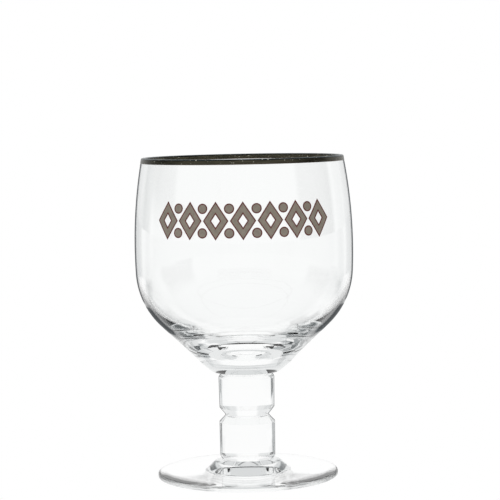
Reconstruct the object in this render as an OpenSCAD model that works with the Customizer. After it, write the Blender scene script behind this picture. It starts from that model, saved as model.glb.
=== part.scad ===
// Chalice beer glass: a clear dished bowl on a collar, two drum knops and a round foot.
// Millimetres, +Z up. The origin is the centre of the foot's underside and the print faces -Y.

/* [Foot] */
// Radius of the foot
foot_r = 42.35; // [38:0.05:46]
// Height of the rim around the foot
foot_rim_h = 2.3; // [2:0.1:3]
// Radius of the rounding on the top of the rim
foot_rim_round = 1.1; // [0.6:0.1:1.3]
// Radius of the rounding under the rim
foot_base_round = 0.6; // [0.3:0.1:0.7]
// Height of the plate where it meets the hub
foot_plate_h = 2.8; // [2.4:0.1:3.6]
// Width of the ring that the foot stands on
foot_ring_w = 5; // [3:0.5:8]
// Depth of the hollow under the foot
foot_hollow_h = 0.9; // [0.4:0.1:1.4]
// Radius of the hub where it leaves the plate
hub_base_r = 19.6; // [18:0.1:24]
// Radius of the hub at its top edge
hub_top_r = 15.5; // [14.5:0.1:16.5]
// Height of the top edge of the hub
hub_edge_h = 6.8; // [6:0.1:7.4]
// Radius of the hollow between the plate and the hub
hub_cove_r = 1.8; // [0.8:0.1:3]
// Radius of the rounding on the top edge of the hub
hub_round = 0.8; // [0.3:0.1:1.2]
// Height of the foot's seat for the stem
foot_seat_h = 8.2; // [7.8:0.1:9.5]

/* [Stem] */
// Radius of the seat between the foot and the lower knop
foot_seat_r = 12.1; // [11:0.1:12.4]
// Height of the lower knop
lower_knop_h = 20.5; // [16:0.1:26]
// Radius of the lower knop under its bevel
lower_knop_r = 13.05; // [12.8:0.05:14.5]
// Radius of the lower knop above its bottom bevel
lower_knop_foot_r = 12.9; // [12.7:0.05:14]
// Height of the bottom bevel of the lower knop
lower_knop_bevel_h = 1.1; // [0.6:0.1:2]
// Radius of the waist between the knops
waist_r = 10.3; // [8.5:0.1:11.5]
// Height of the bevel from the waist down to the lower knop
waist_lower_bevel_h = 3.3; // [2.4:0.1:4.4]
// Height of the bevel from the waist up to the upper knop
waist_upper_bevel_h = 3.5; // [2.4:0.1:4.6]
// Height of the straight land on each side of the waist
waist_land_h = 0.4; // [0.2:0.1:0.8]
// Height of the upper knop
upper_knop_h = 19.4; // [15:0.1:25]
// Radius of the upper knop under its shoulder
upper_knop_r = 13.1; // [12.9:0.05:14.5]
// Radius of the upper knop above the waist's bevel
upper_knop_foot_r = 12.88; // [12.6:0.02:14]
// Radius of the rounded shoulder on the upper knop
knop_shoulder_r = 2; // [1:0.1:2.6]
// Radius of the roundings on the bevelled edges of the knops
knop_edge_round = 0.35; // [0.1:0.05:0.6]

/* [Collar] */
// Height of the collar between the stem and the bowl
collar_h = 9.2; // [7:0.1:11]
// Radius of the lip around the bottom of the collar
collar_lip_r = 16.25; // [15:0.05:17.5]
// Height of that lip above the stem
collar_lip_h = 1.4; // [0.8:0.1:2]
// Radius of the ridge around the middle of the collar
collar_ridge_r = 20.85; // [19.5:0.05:21.5]
// Height of that ridge above the stem
collar_ridge_h = 5.25; // [4:0.05:6]
// Radius of the top of the collar, where the bowl begins
collar_top_r = 24.65; // [23:0.05:25.5]
// Radius of the rounding on the lip of the collar
collar_lip_round = 0.5; // [0.2:0.1:0.8]

/* [Bowl] */
// Height of the bowl from the collar to the lip
bowl_h = 92.5; // [84:0.5:104]
// Outer radius of the bowl where it is widest
belly_r = 51; // [49:0.1:54]
// Distance from there in to the outer edge of the lip
lip_tuck = 4; // [1.5:0.1:6]
// Depth below the lip at which the bowl is widest
belly_drop = 42.2; // [38:0.1:46]
// Radius of the side curve below the widest place
lower_side_r = 240; // [200:5:300]
// Radius of the shoulder that turns the side into the cone
shoulder_r = 36.5; // [30:0.5:40]
// Angle of the cone under the bowl from the upright
cone_lean = 46.1; // [44:0.1:47.5]
// Thickness of the wall from the widest place up
wall_t = 2; // [1.4:0.1:2.4]
// Thickness of the wall where it comes nearest to the cone
cone_wall_t = 3.3; // [2.2:0.1:4]
// Radius of the rounding on both edges of the lip
lip_round = 0.6; // [0.3:0.1:0.6]
// Thickness of glass between the hollow and the collar
floor_t = 3; // [1.5:0.1:5]
// Radius of the shoulder inside the bowl, as a share of the bowl's widest radius
hollow_shoulder_share = 0.608; // [0.52:0.004:0.66]

/* [Rim band] */
// Height of the metal band around the lip
band_h = 2.3; // [1.5:0.1:4]
// Thickness of the metal band
band_t = 0.1; // [0.08:0.01:0.2]

/* [Print] */
// Depth below the lip of the middle of the frieze
frieze_drop = 26.9; // [20:0.1:30]
// Number of lozenges in the frieze
lozenge_count = 7; // [3:2:9]
// Gap between the outlines of two neighbouring lozenges
frieze_gap = 0.85; // [0.7:0.05:2]
// Height of the filled part of a lozenge
lozenge_h = 15.2; // [12:0.1:18]
// Width of the filled part of a lozenge
lozenge_w = 10.3; // [8:0.1:10.5]
// Width of the filled band around the open middle of a lozenge
lozenge_band_w = 2.1; // [1.6:0.1:2.6]
// Radius of the filled part of a bead
bead_r = 1.75; // [1:0.05:1.9]
// Height of the beads above and below the middle of the frieze
bead_rise = 5.4; // [5:0.1:7]
// Width of the outline around each shape
outline_w = 0.45; // [0.3:0.05:0.55]
// Thickness of the print
print_t = 0.08; // [0.06:0.01:0.15]

/* [Hidden] */
$fn = 144;
// Largest distance between a true arc and its chords
chord_gap = 0.02;
// Extra length of a tool that cuts right through
overrun = 1;

glass_tint = [0.90, 0.94, 0.93, 0.45];
band_tint = [0.24, 0.22, 0.17];
fill_tint = [0.53, 0.49, 0.44];
outline_tint = [0.41, 0.16, 0.11];

// Heights of the seats, one piece standing on the next
waist_z = foot_seat_h + lower_knop_h;
stem_top_z = waist_z + upper_knop_h;
bowl_z = stem_top_z + collar_h;
lip_z = bowl_z + bowl_h;

// Shared by the top of the upper knop and the underside of the collar
stem_top_r = upper_knop_r - knop_shoulder_r;

function unit(v) = v / norm(v);

// The short way round from one direction to another
function turn(a, b) = let (d = b - a) d > 180 ? d - 360 : d < -180 ? d + 360 : d;

// Points on an arc, close enough together to keep within chord_gap
function arc(centre, radius, from, to) =
    let (steps = max(1, ceil(abs(to - from) / (2 * acos(1 - chord_gap / radius)))))
    [for (i = [0:steps]) let (a = from + (to - from) * i / steps) centre + radius * [cos(a), sin(a)]];

// One corner of an outline, rounded to radius r
function corner(before, at, after, r) =
    r == 0 ? [at] :
    let (u = unit(before - at))
    let (v = unit(after - at))
    let (half = acos(u * v) / 2)
    let (centre = at + unit(u + v) * r / sin(half))
    let (start = at + u * r / tan(half) - centre)
    let (end = at + v * r / tan(half) - centre)
    let (from = atan2(start.y, start.x))
    arc(centre, r, from, from + turn(from, atan2(end.y, end.x)));

function flat(p) = [p.x, p.y];

// An outline from corners given as [radius, height, rounding]
function rounded(path) =
    let (last = len(path) - 1)
    [for (i = [0:last])
        each corner(flat(path[i == 0 ? last : i - 1]), flat(path[i]), flat(path[i == last ? 0 : i + 1]), path[i].z)];

module turned(path) {
    rotate_extrude() polygon(rounded(path));
}

// Foot: a thin plate with a hollow under it and a flared hub that carries the stem
foot_ring_r = foot_r - foot_base_round - foot_ring_w;
foot_hollow_r = (pow(foot_ring_r, 2) + pow(foot_hollow_h, 2)) / (2 * foot_hollow_h);
foot_hollow_sweep = asin(foot_ring_r / foot_hollow_r);

module foot() {
    hollow = arc([0, foot_hollow_h - foot_hollow_r], foot_hollow_r, 90, 90 - foot_hollow_sweep);
    color(glass_tint)
        turned(concat(
            [for (p = hollow) [p.x, p.y, 0]],
            [[foot_r, 0, foot_base_round],
             [foot_r, foot_rim_h, foot_rim_round],
             [hub_base_r, foot_plate_h, hub_cove_r],
             [hub_top_r, hub_edge_h, hub_round],
             [foot_seat_r, foot_seat_h, 0],
             [0, foot_seat_h, 0]]));
}

// Lower knop: a drum with a small bevel at the foot and a deep one up to the waist
module lower_knop() {
    color(glass_tint)
        turned([[0, foot_seat_h, 0],
                [foot_seat_r, foot_seat_h, 0],
                [lower_knop_foot_r, foot_seat_h + lower_knop_bevel_h, knop_edge_round],
                [lower_knop_r, waist_z - waist_lower_bevel_h, knop_edge_round],
                [waist_r, waist_z - waist_land_h, knop_edge_round],
                [waist_r, waist_z, 0],
                [0, waist_z, 0]]);
}

// Upper knop: the same drum turned over, with a round shoulder under the collar
module upper_knop() {
    color(glass_tint)
        turned([[0, waist_z, 0],
                [waist_r, waist_z, 0],
                [waist_r, waist_z + waist_land_h, knop_edge_round],
                [upper_knop_foot_r, waist_z + waist_upper_bevel_h, knop_edge_round],
                [upper_knop_r, stem_top_z - knop_shoulder_r, 0],
                [upper_knop_r, stem_top_z, knop_shoulder_r],
                [0, stem_top_z, 0]]);
}

// Collar: the ringed disc of glass that joins the stem to the bowl
module collar() {
    color(glass_tint)
        turned([[0, stem_top_z, 0],
                [stem_top_r, stem_top_z, 0],
                [collar_lip_r, stem_top_z + collar_lip_h, collar_lip_round],
                [collar_ridge_r, stem_top_z + collar_ridge_h, 0],
                [collar_top_r, bowl_z, 0],
                [0, bowl_z, 0]]);
}

// Bowl: two wide arcs that meet at the widest place, then a shoulder and a straight cone.
// Inside, the same arcs lie one wall in, and the shoulder runs on into a dished floor.
lip_r = belly_r - lip_tuck;
belly_z = lip_z - belly_drop;
upper_side_r = (pow(belly_r - lip_r, 2) + pow(belly_drop, 2)) / (2 * (belly_r - lip_r));
upper_side = [belly_r - upper_side_r, belly_z];
lower_side = [belly_r - lower_side_r, belly_z];
lip_angle = asin(belly_drop / upper_side_r);
lip_inner_r = lip_r - wall_t;

// Centre of a shoulder of radius r: it touches the side's arc from inside, and the cone
// once that has moved in by inset
function shoulder_centre(side_r, r, inset) =
    let (along = [sin(cone_lean), cos(cone_lean)])
    let (foot = [collar_top_r, bowl_z] - (inset + r) * [cos(cone_lean), -sin(cone_lean)])
    let (start = foot - lower_side)
    let (b = start * along)
    foot + (sqrt(b * b - start * start + pow(side_r - r, 2)) - b) * along;

// Side from a point on its shoulder, given as an angle, up to the lip
function side(inset, centre, r, from) =
    let (away = centre - lower_side)
    let (join = atan2(away.y, away.x))
    concat(arc(centre, r, from, join),
           arc(lower_side, lower_side_r - inset, join, 0),
           upper_side_points(inset));

// Side above the widest place, without its first point or the corner at the lip
function upper_side_points(inset) =
    let (points = arc(upper_side, upper_side_r - inset, 0, lip_angle))
    [for (i = [1:len(points) - 2]) points[i]];

function backwards(points) = [for (i = [len(points) - 1:-1:0]) points[i]];
function sharp(points) = [for (p = points) [p.x, p.y, 0]];

hollow_shoulder_r = hollow_shoulder_share * belly_r;
outer_shoulder = shoulder_centre(lower_side_r, shoulder_r, 0);
inner_shoulder = shoulder_centre(lower_side_r - wall_t, hollow_shoulder_r, cone_wall_t);

// Dish: its centre is on the axis, and it touches both the floor and the inner shoulder
floor_z = bowl_z + floor_t;
shoulder_rise = inner_shoulder.y - floor_z;
dish_r = (pow(inner_shoulder.x, 2) + pow(shoulder_rise, 2) - pow(hollow_shoulder_r, 2))
         / (2 * (shoulder_rise - hollow_shoulder_r));
dish_centre = [0, floor_z + dish_r];
dish_end = atan2(inner_shoulder.y - dish_centre.y, inner_shoulder.x);

module bowl_section() {
    outside = side(0, outer_shoulder, shoulder_r, -cone_lean);
    inside = side(wall_t, inner_shoulder, hollow_shoulder_r, dish_end);
    polygon(rounded(concat(
        [[0, bowl_z, 0], [collar_top_r, bowl_z, 0]],
        sharp(outside),
        [[lip_r, lip_z, lip_round], [lip_inner_r, lip_z, lip_round]],
        sharp(backwards(inside)),
        sharp(backwards(arc(dish_centre, dish_r, -90, dish_end))))));
}

module bowl() {
    color(glass_tint)
        rotate_extrude() bowl_section();
}

// Rim band: a thin skin of metal over the lip, down both faces of the wall
module rim_band() {
    low = lip_z - band_h;
    angle = asin((low - belly_z) / upper_side_r);
    drop_r = upper_side_r * (cos(angle) - cos(lip_angle));
    color(band_tint)
        rotate_extrude() difference() {
            polygon(rounded([
                [lip_inner_r + drop_r - band_t, low, 0],
                [lip_r + drop_r + band_t, low, 0],
                [lip_r + band_t, lip_z + band_t, lip_round + band_t],
                [lip_inner_r - band_t, lip_z + band_t, lip_round + band_t]]));
            bowl_section();
        }
}

// Frieze: pierced lozenges with beads between them, printed round the front of the bowl
frieze_z = lip_z - frieze_drop;
frieze_r = upper_side.x + sqrt(pow(upper_side_r, 2) - pow(frieze_z - belly_z, 2));
lozenge_reach = lozenge_w / 2 + outline_w * norm([lozenge_w, lozenge_h]) / lozenge_h;
frieze_pitch = 2 * asin((lozenge_reach + frieze_gap / 2) / frieze_r);

// A lozenge of half width a and half height b, grown by w on every side
module lozenge(a, b, w) {
    slant = norm([a, b]);
    x = a + w * slant / b;
    y = b + w * slant / a;
    polygon([[x, 0], [0, y], [-x, 0], [0, -y]]);
}

// A shape between two edges, each given as its growth beyond the filled part
module lozenge_ring(outer, inner) {
    difference() {
        lozenge(lozenge_w / 2, lozenge_h / 2, outer);
        lozenge(lozenge_w / 2, lozenge_h / 2, inner);
    }
}

// A patch of skin on the front of the bowl, one pitch wide, with room for the tallest shape
module print_patch() {
    reach = max(lozenge_h, bead_rise + bead_r) + outline_w;
    points = [for (p = upper_side_points(0)) if (abs(p.y - frieze_z) < reach) p];
    rotate([0, 0, -90 - frieze_pitch / 2])
        rotate_extrude(angle = frieze_pitch)
            polygon(concat(points, [for (p = backwards(points)) p + [print_t, 0]]));
}

// The part of the patch inside a flat shape, turned round the bowl by whole or half pitches
module printed(index) {
    rotate([0, 0, index * frieze_pitch])
        intersection() {
            print_patch();
            translate([0, 0, frieze_z])
                rotate([90, 0, 0])
                    linear_extrude(height = belly_r + overrun)
                        children();
        }
}

module each_lozenge() {
    side_count = (lozenge_count - 1) / 2;
    for (i = [-side_count:side_count])
        printed(i) children();
}

module each_bead() {
    side_count = lozenge_count / 2 - 1;
    for (i = [-side_count:side_count], up = [-1, 1])
        printed(i) translate([0, up * bead_rise]) children();
}

module frieze_fill() {
    color(fill_tint) {
        each_lozenge() lozenge_ring(0, -lozenge_band_w);
        each_bead() circle(bead_r);
    }
}

module frieze_outline() {
    color(outline_tint) {
        each_lozenge() lozenge_ring(outline_w, 0);
        each_lozenge() lozenge_ring(-lozenge_band_w, -lozenge_band_w - outline_w);
        each_bead() difference() {
            circle(bead_r + outline_w);
            circle(bead_r);
        }
    }
}

foot();
lower_knop();
upper_knop();
collar();
bowl();
rim_band();
frieze_fill();
frieze_outline();
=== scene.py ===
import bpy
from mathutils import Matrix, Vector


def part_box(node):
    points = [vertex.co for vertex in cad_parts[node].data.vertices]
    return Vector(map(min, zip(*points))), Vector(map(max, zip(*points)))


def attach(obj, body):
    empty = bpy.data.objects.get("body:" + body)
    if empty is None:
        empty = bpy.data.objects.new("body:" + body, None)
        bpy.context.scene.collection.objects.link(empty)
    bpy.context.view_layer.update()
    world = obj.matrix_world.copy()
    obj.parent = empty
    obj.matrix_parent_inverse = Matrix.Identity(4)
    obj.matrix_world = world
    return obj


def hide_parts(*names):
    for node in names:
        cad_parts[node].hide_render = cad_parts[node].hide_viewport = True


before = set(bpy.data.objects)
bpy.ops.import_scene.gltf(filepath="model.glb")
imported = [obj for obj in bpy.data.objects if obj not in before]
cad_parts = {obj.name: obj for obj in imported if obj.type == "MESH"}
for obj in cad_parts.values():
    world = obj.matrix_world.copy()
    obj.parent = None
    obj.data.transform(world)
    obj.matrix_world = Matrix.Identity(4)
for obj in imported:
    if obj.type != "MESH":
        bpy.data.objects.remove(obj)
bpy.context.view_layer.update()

import math

import bpy
from mathutils import Matrix, Vector

bl_info = {
    "name": "Chalice beer glass",
    "version": (1, 0, 0),
    "blender": (4, 5, 0),
    "location": "View3D > Sidebar > Chalice",
    "description": "Turns a clear chalice with a lustre rim band and an enamel frieze",
    "category": "Object",
}

MM = 0.001
# Facets round a turned piece
TURN_STEPS = 256
# Largest distance between a true arc and its chords
CHORD_GAP = 0.004 * MM
# Share of a full rounding that leaves its arc a little short of the next one
NEARLY_FULL = 0.999
# Places this close together are one place, and so are points of a spun outline
SAME_PLACE = 0.001 * MM
SPIN_MERGE = 0.0005 * MM
# Steepest angles, in degrees, between faces that are shaded as one curve
GLASS_SMOOTH = 28
PRINT_SMOOTH = 35
# Depth to which a fired skin bites into the glass, so that no air is left between them
BITE = 0.02 * MM
# Facets round a bead, and cuts along each side of a lozenge
BEAD_STEPS = 48
LOZENGE_CUTS = 9
# Level faces have at least this share of an upright normal
LEVEL = 0.999
# Faces that look outwards have at least this share of their normal away from the axis
OUTWARD = 0.05
# Base colour of the clear glass
CLEAR = (0.995, 1.0, 0.998, 1)
GLASS_IOR = 1.52
# Depth of the painted edge shade at which an edge has lost all its gloss
PAINTED_SHADE_DULL_FROM = 0.7
# Fineness of the patterns, as Blender's noise takes it, and how two of them are stretched
WAVES, STREAKS, GRAIN, CLOUD = 60, 2600, 1500, 700
WAVES_STRETCH = (1, 1, 0.35)
STREAKS_STRETCH = (0.06, 0.06, 1)
# Height of the grain at which it becomes a painted glint, a bright fleck of sparkle, and the width
# of the glint's soft edge
PAINTED_GLINT_FROM, PAINTED_GLINT_EDGE = 0.79, 0.05
# How high the lustre's colours sit on the band, as a share of its height
LUSTRE_LOW, LUSTRE_HIGH, DARK_LINE = 0.12, 0.68, 0.82
# Floor, the hole in the table of cards that the glass stands in, and the dome, in metres
FLOOR_RADIUS = 4
TABLE_HOLE = 0.05
DOME_RADIUS = 4.2
FLOOR_DROP = 0.02 * MM
# Times that light may pass through or off the glass
GLASS_BOUNCES = 32
GLOSSY_BOUNCES = 16

# Which painted edge shades the outward faces of a glass piece take
PAINTED_EDGE_SHADES = {"lower_knop": ("knop",), "upper_knop": ("knop",), "bowl": ("bowl", "cone")}
# Whether each glass piece is fused at its bottom and at its top
SEATS = {
    "foot": (False, True),
    "lower_knop": (True, True),
    "upper_knop": (True, True),
    "collar": (True, True),
    "bowl": (True, False),
}


def top_of(node):
    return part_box(node)[1].z


def bottom_of(node):
    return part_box(node)[0].z


def reach_of(node):
    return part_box(node)[1].x


def length(name, description, default):
    return bpy.props.FloatProperty(
        name=name,
        description=description,
        default=default,
        min=0,
        max=1,
        precision=5,
        subtype="DISTANCE",
        unit="LENGTH",
    )


def angle(name, description, degrees):
    return bpy.props.FloatProperty(
        name=name,
        description=description,
        default=math.radians(degrees),
        subtype="ANGLE",
        unit="ROTATION",
    )


def colour(name, description, default):
    return bpy.props.FloatVectorProperty(
        name=name,
        description=description,
        default=default,
        min=0,
        max=1,
        size=3,
        subtype="COLOR",
    )


def share(name, description, default):
    return bpy.props.FloatProperty(
        name=name,
        description=description,
        default=default,
        min=0,
        max=1,
        subtype="FACTOR",
    )


class FootSizes(bpy.types.PropertyGroup):
    radius: length("Radius", "Outer radius of the foot", reach_of("foot"))
    rim_height: length("Rim height", "Height of the rim around the foot", 2.3 * MM)
    rim_round: length("Rim rounding", "Rounding on the top of the rim", 1.1 * MM)
    base_round: length("Base rounding", "Rounding under the rim", 0.6 * MM)
    plate_height: length("Plate height", "Height of the plate at the hub", 2.8 * MM)
    ring_width: length("Standing ring", "Width of the ring it stands on", 5 * MM)
    hollow_height: length("Hollow", "Depth of the hollow under the foot", 0.9 * MM)
    hub_base_radius: length("Hub base", "Radius where the hub leaves the plate", 19.6 * MM)
    hub_top_radius: length("Hub top", "Radius of the hub at its top edge", 15.5 * MM)
    hub_edge_height: length("Hub edge", "Height of the hub's top edge", 6.8 * MM)
    hub_cove: length("Hub cove", "Radius of the hollow at the foot of the hub", 1.8 * MM)
    hub_round: length("Hub rounding", "Rounding on the hub's top edge", 0.8 * MM)
    seat_radius: length("Seat", "Radius of the seat for the stem", 12.1 * MM)


class StemSizes(bpy.types.PropertyGroup):
    lower_bevel: length("Lower bevel", "Height of the bevel under the lower knop", 1.1 * MM)
    lower_foot_radius: length("Lower knop foot", "Radius above that bevel", 12.9 * MM)
    lower_radius: length("Lower knop", "Radius under the waist's bevel", 13.05 * MM)
    waist_radius: length("Waist", "Radius between the knops", 10.3 * MM)
    waist_lower_bevel: length("Bevel down", "Height of the bevel down from the waist", 3.3 * MM)
    waist_upper_bevel: length("Bevel up", "Height of the bevel up from the waist", 3.5 * MM)
    waist_land: length("Waist land", "Straight land on each side of the waist", 0.4 * MM)
    upper_foot_radius: length("Upper knop foot", "Radius above the waist's bevel", 12.88 * MM)
    upper_radius: length("Upper knop", "Radius under the round shoulder", 13.1 * MM)
    shoulder: length("Shoulder", "Radius of the round shoulder", 2 * MM)
    edge_round: length("Edge rounding", "Rounding on the bevelled edges", 0.35 * MM)


class CollarSizes(bpy.types.PropertyGroup):
    lip_radius: length("Lip", "Radius of the lip around the bottom", 16.25 * MM)
    lip_height: length("Lip height", "Height of the lip above the stem", 1.4 * MM)
    lip_round: length("Lip rounding", "Rounding on the lip", 0.5 * MM)
    ridge_radius: length("Ridge", "Radius of the ridge around the middle", 20.85 * MM)
    ridge_height: length("Ridge height", "Height of the ridge above the stem", 5.25 * MM)
    ridge_round: length("Ridge rounding", "Rounding on the ridge", 0.5 * MM)
    top_radius: length("Top", "Radius where the bowl begins", 24.65 * MM)


class BowlSizes(bpy.types.PropertyGroup):
    belly_radius: length("Belly", "Outer radius where it is widest", 51 * MM)
    lip_tuck: length("Lip tuck", "Distance from there in to the lip", 4 * MM)
    belly_drop: length("Belly drop", "Depth of the widest place below the lip", 42.2 * MM)
    lower_side_radius: length("Lower side", "Radius of the side below that", 240 * MM)
    shoulder: length("Shoulder", "Radius that turns the side into the cone", 36.5 * MM)
    cone_lean: angle("Cone lean", "Angle of the cone from the upright", 46.1)
    wall: length("Wall", "Thickness of the wall from the belly up", 2 * MM)
    cone_wall: length("Cone wall", "Least thickness of the wall at the cone", 3.3 * MM)
    floor: length("Floor", "Glass between the hollow and the collar", 3 * MM)
    hollow_shoulder: length("Inner shoulder", "Radius of the shoulder inside", 31.008 * MM)
    lip_round: length("Lip rounding", "Rounding on both edges of the lip", 0.6 * MM)


# A painted shade on the edges of the glass: dark where the glass is seen at a steep slant, in place
# of the dark surroundings seen through it
def painted_edge_shade_setting(name, *numbers):
    return bpy.props.FloatVectorProperty(
        name=name,
        description=(
            "Slant at which the dark edge begins, slant at which it is full, share of the light "
            "that it keeps back, lowest and highest place in millimetres"
        ),
        size=5,
        default=numbers,
    )


# The edge colour, the knop, bowl and cone edges and the fade below set a painted shade on the edges
# of the glass
class GlassSizes(bpy.types.PropertyGroup):
    edge: colour("Edge", "Colour of the dark edges", (0.020, 0.028, 0.034))
    knop: painted_edge_shade_setting("Knops", 0.74, 0.88, 0.8, -50, 60)
    bowl: painted_edge_shade_setting("Bowl", 0.77, 0.88, 0.77, 80, 250)
    cone: painted_edge_shade_setting("Cone of the bowl", 0.6, 0.8, 0.8, 66, 84)
    edge_fade: length("Edge fade", "Height over which a dark edge fades out", 10 * MM)


class BandSizes(bpy.types.PropertyGroup):
    height: length("Height", "Height of the lustre band", 2.3 * MM)
    thickness: length("Thickness", "Thickness of the lustre band", 0.1 * MM)
    colour: colour("Lustre", "Colour of the lustre", (0.052, 0.047, 0.030))
    dark: colour("Dark line", "Colour of the line below the lip", (0.010, 0.010, 0.008))
    lip: colour("Lip", "Colour of the lustre on the lip", (0.018, 0.046, 0.056))
    edge: colour("Edge", "Colour of the lower edge", (0.075, 0.050, 0.034))
    # Colour of the painted glints, bright flecks of sparkle on the lustre
    fleck: colour("Flecks", "Colour of its bright flecks", (0.55, 0.53, 0.44))


class FriezeSizes(bpy.types.PropertyGroup):
    drop: length("Drop", "Depth of its middle below the lip", 26.9 * MM)
    count: bpy.props.IntProperty(
        name="Lozenges", description="Number of lozenges, an odd one", default=7, min=3, max=9
    )
    gap: length("Gap", "Gap between two outlines", 0.608 * MM)
    height: length("Height", "Height of a lozenge's filled part", 15.2 * MM)
    width: length("Width", "Width of a lozenge's filled part", 10.3 * MM)
    band_width: length("Band", "Width of the fill around the open middle", 2.1 * MM)
    bead_radius: length("Bead", "Radius of a bead's filled part", 1.75 * MM)
    bead_rise: length("Bead rise", "Height of the beads off the middle", 5.4 * MM)
    outline_width: length("Outline", "Width of the outline", 0.55 * MM)
    thickness: length("Thickness", "Thickness of the print", 0.08 * MM)
    fill: colour("Fill", "Colour of the taupe enamel", (0.242, 0.205, 0.162))
    outline: colour("Outline colour", "Colour of the dark red enamel", (0.110, 0.013, 0.007))


def card(name, places, where):
    return bpy.props.FloatVectorProperty(
        name=name,
        description=f"First and last angle, then {where}, then brightness",
        size=5,
        precision=3,
        default=places,
    )


def table_card(name, *places):
    return card(name, places, "near and far edge in millimetres")


def room_card(name, *places):
    return card(name, places, "lowest and highest angle")


class TableCards(bpy.types.PropertyGroup):
    left_gap: table_card("Left gap", -44, -17, 600, 9000, 0.74)
    right_gap: table_card("Right gap", 17, 44, 600, 9000, 0.78)
    left_flag: table_card("Left flag", -78, -49, 54, 260, 0.3)
    right_flag: table_card("Right flag", 53, 89, 45, 104, 0.0)
    left_side: table_card("Left side", -190, -54, 125, 9000, 0.74)
    right_side: table_card("Right side", 52, 172, 180, 9000, 0.7)
    left_strip: table_card("Left strip", -66, -51, 250, 480, 0.06)
    right_strip: table_card("Right strip", 57, 68, 250, 480, 0.25)
    right_near: table_card("Right near", 70, 120, 75, 160, 0.95)
    front: table_card("Front", 95, 266, 4, 220, 0.7)


class RoomCards(bpy.types.PropertyGroup):
    left_flag: room_card("Left flag", -101, -56, 3, 42, 0.14)
    right_flag: room_card("Right flag", 68, 118, -18, 38, 0.05)
    left_strip: room_card("Left strip", -62, -38, -20, 16, 0.4)
    overhead: room_card("Overhead", -200, 200, 26, 100, 0.7)
    sides: room_card("Sides of the screen", -44, 44, -20, 24, 0.82)
    screen: room_card("Screen", -17, 17, -20, 24, 1.0)


class StudioSizes(bpy.types.PropertyGroup):
    table: bpy.props.PointerProperty(type=TableCards)
    room: bpy.props.PointerProperty(type=RoomCards)
    base: share("Room level", "Brightness of the room between its cards", 0.85)
    soft: angle("Softness", "Width of the soft edges of the cards", 7)
    soft_rise: bpy.props.FloatProperty(
        name="Soft rise", description="Width of their soft upper and lower edges", default=8
    )
    soft_reach: share("Soft reach", "The same on the table, as a share of the radius", 0.2)
    camera_aside: length("Camera aside", "Distance of the camera to the right", 2.82 * MM)
    camera_away: length("Camera away", "Distance of the camera in front of the glass", 859.5 * MM)
    camera_height: length("Camera height", "Height of the camera", 173.5 * MM)
    camera_tilt: angle("Tilt", "How far the camera looks down", 4.489)
    camera_roll: angle("Roll", "Turn of the camera round its view", -1.086)
    lens: bpy.props.FloatProperty(
        name="Lens", description="Focal length of the camera", default=132.71, min=1, unit="CAMERA"
    )


class ChaliceSizes(bpy.types.PropertyGroup):
    foot: bpy.props.PointerProperty(type=FootSizes)
    stem: bpy.props.PointerProperty(type=StemSizes)
    collar: bpy.props.PointerProperty(type=CollarSizes)
    bowl: bpy.props.PointerProperty(type=BowlSizes)
    glass: bpy.props.PointerProperty(type=GlassSizes)
    band: bpy.props.PointerProperty(type=BandSizes)
    frieze: bpy.props.PointerProperty(type=FriezeSizes)
    studio: bpy.props.PointerProperty(type=StudioSizes)


# Outlines: points of (radius, height) from the bottom of the axis round to its top


def arc(centre, radius, start, end):
    """Points on an arc, close enough together to keep within CHORD_GAP. Angles in radians."""
    step = 2 * math.acos(1 - CHORD_GAP / radius)
    count = max(2, math.ceil(abs(end - start) / step))
    turns = [start + (end - start) * i / count for i in range(count + 1)]
    return [Vector(centre) + radius * Vector((math.cos(a), math.sin(a))) for a in turns]


def corner(before, at, after, radius):
    """The corner of an outline at a point, rounded."""
    u, v = (before - at).normalized(), (after - at).normalized()
    half = u.angle(v) / 2
    centre = at + (u + v).normalized() * radius / math.sin(half)
    ends = [at + w * radius / math.tan(half) - centre for w in (u, v)]
    start, end = (math.atan2(w.y, w.x) for w in ends)
    sweep = (end - start + math.pi) % math.tau - math.pi
    return arc(centre, radius, start, start + sweep)


def rounded(path):
    """An outline from (radius, height, rounding) corners, the two ends left as they are."""
    flat = [Vector(p[:2]) for p in path]
    outline = [flat[0]]
    for i in range(1, len(path) - 1):
        rounding = path[i][2] if len(path[i]) > 2 else 0
        outline += corner(*flat[i - 1 : i + 2], rounding) if rounding else [flat[i]]
    return outline + [flat[-1]]


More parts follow.
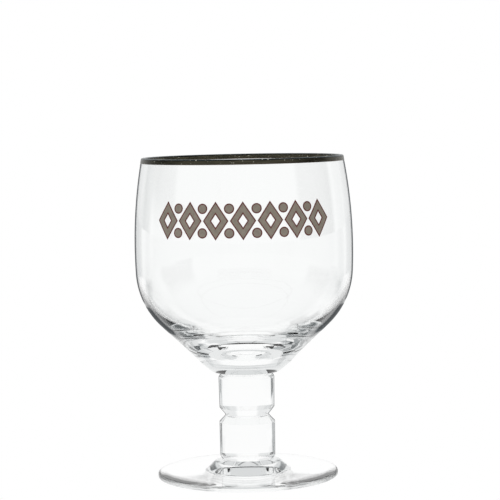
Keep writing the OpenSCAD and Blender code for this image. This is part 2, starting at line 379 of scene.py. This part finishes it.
class BowlShape:
    """The bowl's arcs, worked out from its sizes."""

    def __init__(self, sizes):
        b = sizes.bowl
        self.base = Vector((sizes.collar.top_radius, bottom_of("bowl")))
        self.lip_height = top_of("bowl")
        self.lip_radius = b.belly_radius - b.lip_tuck
        self.belly_height = self.lip_height - b.belly_drop
        self.upper_radius = (b.lip_tuck**2 + b.belly_drop**2) / (2 * b.lip_tuck)
        self.upper = Vector((b.belly_radius - self.upper_radius, self.belly_height))
        self.lower = Vector((b.belly_radius - b.lower_side_radius, self.belly_height))
        self.lip_angle = math.asin(b.belly_drop / self.upper_radius)
        self.sizes = b

    def shoulder_centre(self, side_radius, radius, inset):
        """Centre of a shoulder that touches the side from inside and the cone moved in."""
        lean = self.sizes.cone_lean
        along = Vector((math.sin(lean), math.cos(lean)))
        inward = Vector((-math.cos(lean), math.sin(lean)))
        foot = self.base + inward * (inset + radius)
        start = foot - self.lower
        b = start.dot(along)
        reach = math.sqrt(b * b - start.dot(start) + (side_radius - radius) ** 2) - b
        return foot + along * reach

    def side(self, inset, centre, radius, start):
        """The side from its shoulder up to the lip, without the lip's own corner."""
        away = centre - self.lower
        join = math.atan2(away.y, away.x)
        shoulder = arc(centre, radius, start, join)
        lower = arc(self.lower, self.sizes.lower_side_radius - inset, join, 0)
        return shoulder + lower[1:] + self.upper_side(inset)

    def upper_side(self, inset):
        return arc(self.upper, self.upper_radius - inset, 0, self.lip_angle)[1:-1]

    def outside(self):
        b = self.sizes
        centre = self.shoulder_centre(b.lower_side_radius, b.shoulder, 0)
        return self.side(0, centre, b.shoulder, -b.cone_lean)

    def inside(self):
        b = self.sizes
        low = self.base.y + b.floor
        centre = self.shoulder_centre(b.lower_side_radius - b.wall, b.hollow_shoulder, b.cone_wall)
        rise = centre.y - low
        shoulder = b.hollow_shoulder
        dish_radius = (centre.x**2 + rise**2 - shoulder**2) / (2 * (rise - shoulder))
        dish = Vector((0, low + dish_radius))
        end = math.atan2(centre.y - dish.y, centre.x)
        floor = arc(dish, dish_radius, -math.pi / 2, end)
        return floor[:-1] + self.side(b.wall, centre, b.hollow_shoulder, end)

    def radius_at(self, height):
        return self.upper.x + math.sqrt(self.upper_radius**2 - (height - self.belly_height) ** 2)

    def lip(self, grow, rounding):
        """The two corners of the lip, grown outwards, as rounded() takes them."""
        inner = self.lip_radius - self.sizes.wall
        top = self.lip_height + grow
        return [(self.lip_radius + grow, top, rounding), (inner - grow, top, rounding)]


def foot_outline(sizes):
    f = sizes.foot
    ring = f.radius - f.base_round - f.ring_width
    hollow = (ring**2 + f.hollow_height**2) / (2 * f.hollow_height)
    sweep = math.asin(ring / hollow)
    under = arc((0, f.hollow_height - hollow), hollow, math.pi / 2, math.pi / 2 - sweep)
    under[0].x = 0
    seat = top_of("foot")
    return rounded(
        [tuple(p) for p in under]
        + [
            (f.radius, 0, f.base_round),
            (f.radius, f.rim_height, f.rim_round),
            (f.hub_base_radius, f.plate_height, f.hub_cove),
            (f.hub_top_radius, f.hub_edge_height, f.hub_round),
            (f.seat_radius, seat),
            (0, seat),
        ]
    )


def lower_knop_outline(sizes):
    s = sizes.stem
    low, high = bottom_of("lower_knop"), top_of("lower_knop")
    return rounded(
        [
            (0, low),
            (sizes.foot.seat_radius, low),
            (s.lower_foot_radius, low + s.lower_bevel, s.edge_round),
            (s.lower_radius, high - s.waist_lower_bevel, s.edge_round),
            (s.waist_radius, high - s.waist_land, s.edge_round),
            (s.waist_radius, high),
            (0, high),
        ]
    )


def upper_knop_outline(sizes):
    s = sizes.stem
    low, high = bottom_of("upper_knop"), top_of("upper_knop")
    return rounded(
        [
            (0, low),
            (s.waist_radius, low),
            (s.waist_radius, low + s.waist_land, s.edge_round),
            (s.upper_foot_radius, low + s.waist_upper_bevel, s.edge_round),
            (s.upper_radius, high - s.shoulder),
            (s.upper_radius, high, s.shoulder * NEARLY_FULL),
            (0, high),
        ]
    )


def collar_outline(sizes):
    c = sizes.collar
    low, high = bottom_of("collar"), top_of("collar")
    return rounded(
        [
            (0, low),
            (sizes.stem.upper_radius - sizes.stem.shoulder, low),
            (c.lip_radius, low + c.lip_height, c.lip_round),
            (c.ridge_radius, low + c.ridge_height, c.ridge_round),
            (c.top_radius, high),
            (0, high),
        ]
    )


def bowl_outline(sizes):
    shape = BowlShape(sizes)
    rounding = sizes.bowl.lip_round
    inside = [tuple(p) for p in reversed(shape.inside())]
    inside[-1] = (0, inside[-1][1])
    outside = [tuple(p) for p in shape.outside()]
    seat = [(0, shape.base.y), tuple(shape.base)]
    return rounded(seat + outside + shape.lip(0, rounding) + inside)


def band_outline(sizes):
    """A closed skin over the lip, which bites into the glass a little."""
    shape = BowlShape(sizes)
    thick, rounding = sizes.band.thickness, sizes.bowl.lip_round
    low = shape.lip_height - sizes.band.height
    drop = shape.radius_at(low) - shape.lip_radius
    inner = shape.lip_radius - sizes.bowl.wall + drop
    outer = shape.lip_radius + drop
    over = reversed(shape.lip(thick, rounding + thick))
    skin = [(inner - thick, low), *over, (outer + thick, low)]
    core = [(outer - BITE, low), *shape.lip(-BITE, rounding - BITE), (inner + BITE, low)]
    return rounded(skin) + rounded(core)


# Modelling


def nothing_selected():
    if bpy.context.object and bpy.context.object.mode != "OBJECT":
        bpy.ops.object.mode_set(mode="OBJECT")
    bpy.ops.object.select_all(action="DESELECT")


def select_faces(piece, chosen):
    """Select, in edit mode, the faces for which chosen(face) is true."""
    bpy.ops.object.mode_set(mode="EDIT")
    bpy.ops.mesh.select_mode(type="FACE")
    bpy.ops.mesh.select_all(action="DESELECT")
    bpy.ops.object.mode_set(mode="OBJECT")
    for face in piece.data.polygons:
        face.select = chosen(face)
    bpy.ops.object.mode_set(mode="EDIT")


def turned(name, outline, closed=False):
    """Draw an outline by extruding one point along it, and spin it round the upright axis."""
    nothing_selected()
    bpy.ops.mesh.primitive_plane_add(size=MM)
    piece = bpy.context.object
    piece.name = piece.data.name = name
    bpy.ops.object.mode_set(mode="EDIT")
    bpy.ops.mesh.select_mode(type="VERT")
    bpy.ops.mesh.select_all(action="SELECT")
    bpy.ops.mesh.merge(type="CENTER")
    here = Vector((outline[0][0], 0, outline[0][1]))
    bpy.ops.transform.translate(value=here)
    for radius, height in outline[1:]:
        there = Vector((radius, 0, height))
        bpy.ops.mesh.extrude_region_move(TRANSFORM_OT_translate={"value": there - here})
        here = there
    bpy.ops.mesh.select_all(action="SELECT")
    if closed:
        bpy.ops.mesh.edge_face_add()
        bpy.ops.mesh.delete(type="ONLY_FACE")
        bpy.ops.mesh.select_all(action="SELECT")
    bpy.ops.mesh.spin(steps=TURN_STEPS, angle=math.tau, center=(0, 0, 0), axis=(0, 0, 1))
    bpy.ops.mesh.select_all(action="SELECT")
    bpy.ops.mesh.remove_doubles(threshold=SPIN_MERGE)
    bpy.ops.mesh.normals_make_consistent(inside=False)
    bpy.ops.object.mode_set(mode="OBJECT")
    bpy.ops.object.shade_smooth_by_angle(angle=math.radians(GLASS_SMOOTH))
    return piece


def give_faces(piece, made, chosen):
    """Give a material of its own to the chosen faces, which stay selected in edit mode."""
    piece.data.materials.append(made)
    select_faces(piece, chosen)
    piece.active_material_index = len(piece.data.materials) - 1
    bpy.ops.object.material_slot_assign()


def glass_piece(node, outline, sizes):
    """A turned glass piece in place of a CAD node, with its fused faces left clear."""
    piece = turned(node + "_glass", outline)
    piece.data.materials.append(polished_glass()[0])
    heights = [bottom_of(node), top_of(node)]
    fused = [z for z, seated in zip(heights, SEATS[node]) if seated]
    give_faces(
        piece,
        fused_seam(),
        lambda face: abs(face.normal.z) > LEVEL
        and any(abs(face.center.z - z) < SAME_PLACE for z in fused),
    )
    bpy.ops.mesh.region_to_loop()
    bpy.ops.mesh.mark_sharp()
    bpy.ops.object.mode_set(mode="OBJECT")
    # The outward faces take a painted shade on their edges
    if node in PAINTED_EDGE_SHADES:
        give_faces(
            piece,
            glass_with_painted_edge_shade(sizes, PAINTED_EDGE_SHADES[node]),
            lambda face: face.normal.xy.dot(face.center.xy) > OUTWARD * face.center.xy.length,
        )
        bpy.ops.object.mode_set(mode="OBJECT")
    return placed(piece, node)


def placed(piece, node):
    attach(piece, "root")
    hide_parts(node)
    return piece


# Materials


def material(name):
    """A fresh material with its Principled node, or None and the one made before."""
    found = bpy.data.materials.get(name)
    if found:
        return found, None, None
    made = bpy.data.materials.new(name)
    made.use_nodes = True
    tree = made.node_tree
    tree.nodes.clear()
    shader = tree.nodes.new("ShaderNodeBsdfPrincipled")
    output = tree.nodes.new("ShaderNodeOutputMaterial")
    tree.links.new(shader.outputs["BSDF"], output.inputs["Surface"])
    return made, tree, shader


def add_node(tree, kind, links=(), **values):
    """A node with its settings, its plain inputs and its linked inputs."""
    made = tree.nodes.new("ShaderNode" + kind)
    for name, value in values.items():
        if hasattr(made, name):
            setattr(made, name, value)
        else:
            made.inputs[name.replace("_", " ").title()].default_value = value
    for socket, source in dict(links).items():
        tree.links.new(source, made.inputs[socket])
    return made


def stretched_noise(tree, stretch, scale, detail):
    """A noise along the object's own axes, drawn out by a stretch."""
    place = add_node(tree, "TexCoord")
    drawn = add_node(tree, "Mapping", {"Vector": place.outputs["Object"]})
    drawn.inputs["Scale"].default_value = stretch
    noise = add_node(
        tree, "TexNoise", {"Vector": drawn.outputs["Vector"]}, scale=scale, detail=detail
    )
    return noise.outputs["Fac"]


def bumped(tree, shader, height, strength, depth):
    """Let a pattern raise and lower the surface."""
    bump = add_node(tree, "Bump", {"Height": height}, strength=strength, distance=depth)
    tree.links.new(bump.outputs["Normal"], shader.inputs["Normal"])


def roughened(tree, shader, pattern, low, high):
    """Let a pattern vary the roughness between two values."""
    rough = add_node(tree, "MapRange", {"Value": pattern}, to_min=low, to_max=high)
    tree.links.new(rough.outputs["Result"], shader.inputs["Roughness"])


def polished_glass(name="polished_glass"):
    """Polished clear glass with the faint waves that a mould leaves."""
    made, tree, shader = material(name)
    if not tree:
        return made, tree, shader
    shader.inputs["Base Color"].default_value = CLEAR
    shader.inputs["Roughness"].default_value = 0
    shader.inputs["IOR"].default_value = GLASS_IOR
    shader.inputs["Transmission Weight"].default_value = 1
    waves = stretched_noise(tree, WAVES_STRETCH, WAVES, 1.0)
    bumped(tree, shader, waves, 0.25, 0.05 * MM)
    return made, tree, shader


def painted_edge_shade(tree, edge, rise, fade):
    """How deep the painted shade on an edge is, from 0 to 1: at a steep slant, and between its two
    heights.
    """
    begins, full, kept, low, high = edge
    slant = add_node(tree, "LayerWeight", blend=0.5).outputs["Facing"]
    steep = soft_step(tree, slant, (begins + full) / 2, full - begins)
    above = soft_step(tree, rise, low * MM, fade)
    below = soft_step(tree, rise, high * MM, fade, 1, 0)
    between = math_node(tree, "MULTIPLY", above, below)
    return math_node(tree, "MULTIPLY", math_node(tree, "MULTIPLY", steep, between), kept)


def glass_with_painted_edge_shade(sizes, edges):
    """The same glass, with painted shade on its edges where it is seen at a steep slant."""
    made, tree, shader = polished_glass(edges[0] + "_edge_glass")
    if not tree:
        return made
    place = add_node(tree, "TexCoord").outputs["Object"]
    rise = add_node(tree, "SeparateXYZ", {0: place}).outputs[2]
    dark = 0.0
    for name in edges:
        edge = painted_edge_shade(tree, getattr(sizes, name), rise, sizes.edge_fade)
        dark = math_node(tree, "MAXIMUM", dark, edge)
    # The painted edge shade tints the base colour dark, passes less light through and dulls the
    # gloss
    dull = math_node(tree, "MINIMUM", math_node(tree, "DIVIDE", dark, PAINTED_SHADE_DULL_FROM), 1)
    tint = add_node(tree, "Mix", {0: dull}, data_type="RGBA")
    tint.inputs[6].default_value = CLEAR
    tint.inputs[7].default_value = (*sizes.edge, 1)
    tree.links.new(tint.outputs[2], shader.inputs["Base Color"])
    passed = math_node(tree, "SUBTRACT", 1.0, dark)
    tree.links.new(passed, shader.inputs["Transmission Weight"])
    gloss = math_node(tree, "MULTIPLY", math_node(tree, "SUBTRACT", 1.0, dull), 0.5)
    tree.links.new(gloss, shader.inputs["Specular IOR Level"])
    return made


def fused_seam():
    """The face where two pieces are fused: nothing of it shows."""
    made, tree, shader = material("fused_seam")
    if tree:
        shader.inputs["Alpha"].default_value = 0
    return made


def rim_lustre(sizes):
    """Dark olive lustre: fine streaks round the rim, a teal lip, a brown edge, and a few painted
    glints as bright flecks.
    """
    made, tree, shader = material("rim_lustre")
    if not tree:
        return made
    band = sizes.band
    place = add_node(tree, "TexCoord")
    parts = add_node(tree, "SeparateXYZ", {0: place.outputs["Object"]})
    top = top_of("rim_band")
    rise = add_node(
        tree, "MapRange", {"Value": parts.outputs[2]}, from_min=top - band.height, from_max=top
    )
    zones = add_node(tree, "ValToRGB", {"Fac": rise.outputs["Result"]})
    ramp = zones.color_ramp
    ramp.elements[0].color = (*band.edge, 1)
    ramp.elements[1].color = (*band.lip, 1)
    tints = (LUSTRE_LOW, band.colour), (LUSTRE_HIGH, band.colour), (DARK_LINE, band.dark)
    for position, tint in tints:
        ramp.elements.new(position).color = (*tint, 1)
    streaks = stretched_noise(tree, STREAKS_STRETCH, STREAKS, 2.0)
    shade = add_node(
        tree,
        "MapRange",
        {"Value": streaks},
        from_min=0.3,
        from_max=0.7,
        to_min=0.55,
        to_max=1.5,
    )
    streaked = add_node(tree, "VectorMath", {0: zones.outputs["Color"]}, operation="SCALE")
    tree.links.new(shade.outputs["Result"], streaked.inputs["Scale"])
    grain = add_node(
        tree, "TexNoise", {"Vector": place.outputs["Object"]}, scale=GRAIN, detail=0.0
    ).outputs["Fac"]
    # Painted glints: where the grain is high, bright flecks of sparkle are mixed into the base
    # colour
    bright = soft_step(tree, grain, PAINTED_GLINT_FROM, PAINTED_GLINT_EDGE)
    with_painted_glints = add_node(
        tree, "Mix", {0: bright, 6: streaked.outputs["Vector"]}, data_type="RGBA"
    )
    with_painted_glints.inputs[7].default_value = (*band.fleck, 1)
    tree.links.new(with_painted_glints.outputs[2], shader.inputs["Base Color"])
    shader.inputs["Metallic"].default_value = 0.8
    roughened(tree, shader, streaks, 0.2, 0.45)
    bumped(tree, shader, grain, 0.3, 0.02 * MM)
    return made


def enamel(name, tint):
    """Fired enamel: a satin skin with a fine, slightly uneven screen-printed grain."""
    made, tree, shader = material(name)
    if not tree:
        return made
    place = add_node(tree, "TexCoord")
    cloud = add_node(
        tree, "TexNoise", {"Vector": place.outputs["Object"]}, scale=CLOUD, detail=4.0
    ).outputs["Fac"]
    shade = add_node(tree, "ValToRGB", {"Fac": cloud})
    ramp = shade.color_ramp
    ramp.elements[0].position, ramp.elements[1].position = 0.3, 0.7
    ramp.elements[0].color = (*(c * 0.86 for c in tint), 1)
    ramp.elements[1].color = (*(min(1, c * 1.13) for c in tint), 1)
    tree.links.new(shade.outputs["Color"], shader.inputs["Base Color"])
    roughened(tree, shader, cloud, 0.32, 0.48)
    bumped(tree, shader, cloud, 0.35, 0.02 * MM)
    return made


def white_floor():
    """An evenly lit white surface."""
    made, tree, shader = material("white_floor")
    if tree:
        shader.inputs["Base Color"].default_value = (0, 0, 0, 1)
        shader.inputs["Specular IOR Level"].default_value = 0
        shader.inputs["Emission Color"].default_value = (1, 1, 1, 1)
        shader.inputs["Emission Strength"].default_value = 1
    return made


# Frieze


def print_shape(name, corners, hole, cuts):
    """A flat shape on the XZ plane, as a ring between corners and a hole with as many, or whole."""
    nothing_selected()
    bpy.ops.mesh.primitive_circle_add(vertices=len(corners), radius=MM, fill_type="NOTHING")
    shape = bpy.context.object
    shape.name = shape.data.name = name
    for vertex, (x, z) in zip(shape.data.vertices, corners):
        vertex.co = (x, 0, z)
    bpy.ops.object.mode_set(mode="EDIT")
    bpy.ops.mesh.select_all(action="SELECT")
    bpy.ops.mesh.duplicate()
    bpy.ops.object.mode_set(mode="OBJECT")
    for vertex, (x, z) in zip(shape.data.vertices[len(corners) :], hole):
        vertex.co = (x, 0, z)
    bpy.ops.object.mode_set(mode="EDIT")
    bpy.ops.mesh.select_all(action="SELECT")
    bpy.ops.mesh.bridge_edge_loops()
    bpy.ops.mesh.select_all(action="SELECT")
    bpy.ops.mesh.remove_doubles(threshold=SAME_PLACE)
    if cuts:
        bpy.ops.mesh.subdivide(number_cuts=cuts)
    bpy.ops.object.mode_set(mode="OBJECT")
    return shape


def wrapped(shape, bowl, sizes):
    """Press a flat shape onto the front of the bowl and give it the print's thickness."""
    shape.data.transform(Matrix.Translation((0, -sizes.bowl.belly_radius - MM, 0)))
    nothing_selected()
    shape.select_set(True)
    bpy.context.view_layer.objects.active = shape
    press = shape.modifiers.new("press", "SHRINKWRAP")
    press.target = bowl
    press.wrap_method = "PROJECT"
    press.use_project_y = True
    press.use_negative_direction = False
    press.use_positive_direction = True
    bpy.ops.object.modifier_apply(modifier=press.name)
    bpy.ops.object.mode_set(mode="EDIT")
    bpy.ops.mesh.select_all(action="SELECT")
    bpy.ops.mesh.normals_make_consistent(inside=False)
    bpy.ops.object.mode_set(mode="OBJECT")
    if sum(face.normal.y for face in shape.data.polygons) > 0:
        shape.data.flip_normals()
    thick = shape.modifiers.new("thick", "SOLIDIFY")
    thick.thickness = sizes.frieze.thickness + BITE
    thick.offset = 2 * sizes.frieze.thickness / thick.thickness - 1
    bpy.ops.object.modifier_apply(modifier=thick.name)
    return shape


def lozenge(sizes, growth):
    """The corners of a lozenge, grown on every side."""
    a, b = sizes.frieze.width / 2, sizes.frieze.height / 2
    slant = math.hypot(a, b)
    x, z = a + growth * slant / b, b + growth * slant / a
    middle = top_of("bowl") - sizes.frieze.drop
    return [(x, middle), (0, middle + z), (-x, middle), (0, middle - z)]


def bead(sizes, growth, up):
    middle = top_of("bowl") - sizes.frieze.drop + up * sizes.frieze.bead_rise
    radius = sizes.frieze.bead_radius + growth
    turns = [math.tau * i / BEAD_STEPS for i in range(BEAD_STEPS)]
    return [(radius * math.cos(a), middle + radius * math.sin(a)) for a in turns]


def joined(name, shapes):
    nothing_selected()
    for shape in shapes:
        shape.select_set(True)
    bpy.context.view_layer.objects.active = shapes[0]
    bpy.ops.object.join()
    whole = bpy.context.object
    whole.name = whole.data.name = name
    bpy.ops.object.shade_smooth_by_angle(angle=math.radians(PRINT_SMOOTH))
    return whole


def repeated(shape, places, pitch):
    """Copies of a shape, each with its own mesh, turned round the bowl. The first is used up."""
    made = []
    for place in places:
        copy = shape.copy()
        copy.data = shape.data.copy()
        copy.data.transform(Matrix.Rotation(place * pitch, 4, "Z"))
        bpy.context.scene.collection.objects.link(copy)
        made.append(copy)
    bpy.data.objects.remove(shape)
    return made


def frieze_pitch(sizes):
    f = sizes.frieze
    radius = BowlShape(sizes).radius_at(top_of("bowl") - f.drop)
    reach = f.width / 2 + f.outline_width * math.hypot(f.width, f.height) / f.height
    return 2 * math.asin((reach + f.gap / 2) / radius)


def rings_of(sizes, kind, bands, places):
    """The printed rings of one kind of shape, each band given as two growths."""
    bowl = bpy.data.objects["bowl_glass"]
    made = []
    for outer, inner in bands:
        if kind == "lozenge":
            corners, hole = lozenge(sizes, outer), lozenge(sizes, inner)
            flat = print_shape("ring", corners, hole, LOZENGE_CUTS)
            made += repeated(wrapped(flat, bowl, sizes), places, frieze_pitch(sizes))
            continue
        for up in (-1, 1):
            flat = print_shape("ring", bead(sizes, outer, up), bead(sizes, inner, up), 0)
            made += repeated(wrapped(flat, bowl, sizes), places, frieze_pitch(sizes))
    return made


def frieze_places(sizes):
    """Turns, in pitches, of the lozenges and of the beads between them."""
    half = (sizes.frieze.count - 1) / 2
    lozenges = [i - half for i in range(sizes.frieze.count)]
    return lozenges, [place + 0.5 for place in lozenges[:-1]]


# Operators


class PieceOperator:
    """What every operator of this file shares."""

    bl_options = {"REGISTER", "UNDO"}

    def execute(self, context):
        self.make(context.scene.chalice)
        return {"FINISHED"}


class CHALICE_OT_foot(PieceOperator, bpy.types.Operator):
    """Turn the round foot with its hub and the hollow under it"""

    bl_idname = "chalice.foot"
    bl_label = "Foot"

    def make(self, sizes):
        glass_piece("foot", foot_outline(sizes), sizes.glass)


class CHALICE_OT_knops(PieceOperator, bpy.types.Operator):
    """Turn the two drum knops of the stem"""

    bl_idname = "chalice.knops"
    bl_label = "Knops"

    def make(self, sizes):
        glass_piece("lower_knop", lower_knop_outline(sizes), sizes.glass)
        glass_piece("upper_knop", upper_knop_outline(sizes), sizes.glass)


class CHALICE_OT_collar(PieceOperator, bpy.types.Operator):
    """Turn the ringed collar between the stem and the bowl"""

    bl_idname = "chalice.collar"
    bl_label = "Collar"

    def make(self, sizes):
        glass_piece("collar", collar_outline(sizes), sizes.glass)


class CHALICE_OT_bowl(PieceOperator, bpy.types.Operator):
    """Turn the dished bowl"""

    bl_idname = "chalice.bowl"
    bl_label = "Bowl"

    def make(self, sizes):
        glass_piece("bowl", bowl_outline(sizes), sizes.glass)


class CHALICE_OT_rim_band(PieceOperator, bpy.types.Operator):
    """Turn the lustre band over the lip"""

    bl_idname = "chalice.rim_band"
    bl_label = "Rim band"

    def make(self, sizes):
        band = turned("rim_band_lustre", band_outline(sizes), closed=True)
        band.data.materials.append(rim_lustre(sizes))
        placed(band, "rim_band")


class CHALICE_OT_frieze(PieceOperator, bpy.types.Operator):
    """Print the frieze of pierced lozenges and beads round the front of the bowl"""

    bl_idname = "chalice.frieze"
    bl_label = "Frieze"

    def make(self, sizes):
        f = sizes.frieze
        lozenges, beads = frieze_places(sizes)
        line = f.outline_width
        fill = rings_of(sizes, "lozenge", [(0, -f.band_width)], lozenges)
        fill += rings_of(sizes, "bead", [(0, -f.bead_radius)], beads)
        fill = joined("frieze_fill_enamel", fill)
        fill.data.materials.append(enamel("taupe_enamel", f.fill))
        placed(fill, "frieze_fill")
        outline = rings_of(
            sizes, "lozenge", [(line, 0), (-f.band_width, -f.band_width - line)], lozenges
        )
        outline += rings_of(sizes, "bead", [(line, 0)], beads)
        outline = joined("frieze_outline_enamel", outline)
        outline.data.materials.append(enamel("dark_red_enamel", f.outline))
        placed(outline, "frieze_outline")


class CHALICE_OT_studio(PieceOperator, bpy.types.Operator):
    """Set up the pale floor, the bright screen with the cards beside it, and the camera"""

    bl_idname = "chalice.studio"
    bl_label = "Studio"

    def make(self, sizes):
        lay_floor(sizes.studio)
        light_room(sizes.studio)
        set_camera(sizes.studio)


def math_node(tree, operation, *values):
    """The result of a Math node whose inputs are numbers or other results."""
    made = tree.nodes.new("ShaderNodeMath")
    made.operation = operation
    for i, value in enumerate(values):
        if isinstance(value, (int, float)):
            made.inputs[i].default_value = value
        else:
            tree.links.new(value, made.inputs[i])
    return made.outputs[0]


def soft_step(tree, value, middle, width, low=0.0, high=1.0):
    """A value that goes smoothly from low to high round a middle."""
    made = tree.nodes.new("ShaderNodeMapRange")
    made.interpolation_type = "SMOOTHSTEP"
    made.inputs["From Min"].default_value = middle - width / 2
    made.inputs["From Max"].default_value = middle + width / 2
    made.inputs["To Min"].default_value = low
    made.inputs["To Max"].default_value = high
    tree.links.new(value, made.inputs["Value"])
    return made.outputs["Result"]


def cards_laid(tree, level, cards, turn, place, widths):
    """Brightness where cards lie over one another, each a patch of angle and of place."""
    for name in cards.__annotations__:
        first, last, near, far, bright = getattr(cards, name)
        middle, half = math.radians(first + last) / 2, math.radians(last - first) / 2
        off = math_node(tree, "WRAP", math_node(tree, "SUBTRACT", turn, middle), math.pi, -math.pi)
        across = soft_step(tree, math_node(tree, "ABSOLUTE", off), half, widths[0], 1, 0)
        for edge, low, high in (near, 0, 1), (far, 1, 0):
            step = soft_step(tree, place, edge, widths[1](edge), low, high)
            across = math_node(tree, "MULTIPLY", across, step)
        change = math_node(tree, "MULTIPLY", across, math_node(tree, "SUBTRACT", bright, level))
        level = math_node(tree, "ADD", level, change)
    return level


def cool_white(tree, level):
    """White light of this level, a little cooler where it is dark."""
    mixed = add_node(tree, "CombineColor")
    for i, power in enumerate((1.05, 1.0, 0.98)):
        tree.links.new(math_node(tree, "POWER", level, power), mixed.inputs[i])
    return mixed.outputs["Color"]


def lay_disc(name, height, made):
    """A round floor at a height."""
    nothing_selected()
    bpy.ops.mesh.primitive_circle_add(
        vertices=128, radius=FLOOR_RADIUS, fill_type="NGON", location=(0, 0, height)
    )
    disc = bpy.context.object
    disc.name = name
    disc.data.materials.append(made)
    return disc


def lay_floor(studio):
    """The white floor that the camera sees, and over it what only the glass sees of the table."""
    floor = lay_disc("floor", -FLOOR_DROP, white_floor())
    table = lay_disc("table_cards", 0, table_cards(studio))
    bpy.ops.object.mode_set(mode="EDIT")
    bpy.ops.mesh.select_all(action="SELECT")
    bpy.ops.mesh.inset(thickness=FLOOR_RADIUS - TABLE_HOLE)
    bpy.ops.mesh.delete(type="FACE")
    bpy.ops.object.mode_set(mode="OBJECT")
    table.visible_camera = table.visible_diffuse = table.visible_shadow = False
    nothing_selected()
    bpy.ops.mesh.primitive_uv_sphere_add(segments=64, ring_count=32, radius=DOME_RADIUS)
    backdrop = bpy.context.object
    backdrop.name = "backdrop"
    backdrop.data.materials.append(white_floor())
    backdrop.visible_diffuse = backdrop.visible_glossy = False
    backdrop.visible_transmission = backdrop.visible_shadow = False


def table_cards(studio):
    """What the glass sees of the table: white, with soft grey and dark cards laid on it."""
    made, tree, shader = material("table_cards")
    if not tree:
        return made
    shader.inputs["Base Color"].default_value = (0, 0, 0, 1)
    shader.inputs["Specular IOR Level"].default_value = 0
    place = add_node(tree, "TexCoord")
    parts = add_node(tree, "SeparateXYZ", {0: place.outputs["Object"]})
    x, y = parts.outputs[0], parts.outputs[1]
    turn = math_node(tree, "ARCTAN2", x, y)
    away = add_node(tree, "VectorMath", {0: place.outputs["Object"]}, operation="LENGTH")
    millimetres = math_node(tree, "DIVIDE", away.outputs["Value"], MM)
    widths = studio.soft, lambda edge: studio.soft_reach * edge
    level = cards_laid(tree, 1.0, studio.table, turn, millimetres, widths)
    tree.links.new(cool_white(tree, level), shader.inputs["Emission Color"])
    shader.inputs["Emission Strength"].default_value = 1
    return made


def light_room(studio):
    """The light by direction: a bright screen behind the glass, with greyer cards beside it."""
    world = bpy.data.worlds.new("studio")
    bpy.context.scene.world = world
    world.use_nodes = True
    tree = world.node_tree
    tree.nodes.clear()
    place = add_node(tree, "TexCoord")
    parts = add_node(tree, "SeparateXYZ", {0: place.outputs["Generated"]})
    x, y, z = parts.outputs
    turn = math_node(tree, "ARCTAN2", x, y)
    rise = math_node(tree, "MULTIPLY", math_node(tree, "ARCSINE", z), 180 / math.pi)
    widths = studio.soft, lambda edge: studio.soft_rise
    level = cards_laid(tree, studio.base, studio.room, turn, rise, widths)
    light = add_node(tree, "Background", {"Color": cool_white(tree, level)})
    output = add_node(tree, "OutputWorld", {"Surface": light.outputs["Background"]})
    output.is_active_output = True


def set_camera(studio):
    """The photograph's view: a long lens a little above the rim, looking slightly down."""
    scene = bpy.context.scene
    bpy.ops.object.camera_add(
        location=(studio.camera_aside, -studio.camera_away, studio.camera_height)
    )
    camera = bpy.context.object
    look = Matrix.Rotation(math.pi / 2 - studio.camera_tilt, 4, "X")
    roll = Matrix.Rotation(studio.camera_roll, 4, "Z")
    camera.rotation_euler = (look @ roll).to_euler()
    camera.data.sensor_width = 36
    camera.data.lens = studio.lens
    camera.data.clip_end = 50
    scene.camera = camera
    scene.view_settings.view_transform = "Standard"
    scene.cycles.max_bounces = scene.cycles.transmission_bounces = GLASS_BOUNCES
    scene.cycles.glossy_bounces = GLOSSY_BOUNCES
    scene.cycles.transparent_max_bounces = GLASS_BOUNCES
    scene.cycles.blur_glossy = 0


class CHALICE_PT_sidebar(bpy.types.Panel):
    """The pieces of the chalice and their sizes"""

    bl_idname = "CHALICE_PT_sidebar"
    bl_label = "Chalice"
    bl_space_type = "VIEW_3D"
    bl_region_type = "UI"
    bl_category = "Chalice"

    def draw(self, context):
        for operator in OPERATORS:
            self.layout.operator(operator.bl_idname)
        for name in ChaliceSizes.__annotations__:
            group = getattr(context.scene.chalice, name)
            box = self.layout.box()
            box.label(text=name.capitalize())
            for size in type(group).__annotations__:
                box.prop(group, size)


GROUPS = (
    FootSizes,
    StemSizes,
    CollarSizes,
    BowlSizes,
    GlassSizes,
    BandSizes,
    FriezeSizes,
    TableCards,
    RoomCards,
    StudioSizes,
    ChaliceSizes,
)
OPERATORS = (
    CHALICE_OT_foot,
    CHALICE_OT_knops,
    CHALICE_OT_collar,
    CHALICE_OT_bowl,
    CHALICE_OT_rim_band,
    CHALICE_OT_frieze,
    CHALICE_OT_studio,
)


def register():
    for made in (*GROUPS, *OPERATORS, CHALICE_PT_sidebar):
        bpy.utils.register_class(made)
    bpy.types.Scene.chalice = bpy.props.PointerProperty(type=ChaliceSizes)


def unregister():
    del bpy.types.Scene.chalice
    for made in reversed((*GROUPS, *OPERATORS, CHALICE_PT_sidebar)):
        bpy.utils.unregister_class(made)


def main():
    register()
    for operator in OPERATORS:
        name = operator.bl_idname.split(".")[1]
        getattr(bpy.ops.chalice, name)()


if __name__ == "__main__":
    main()
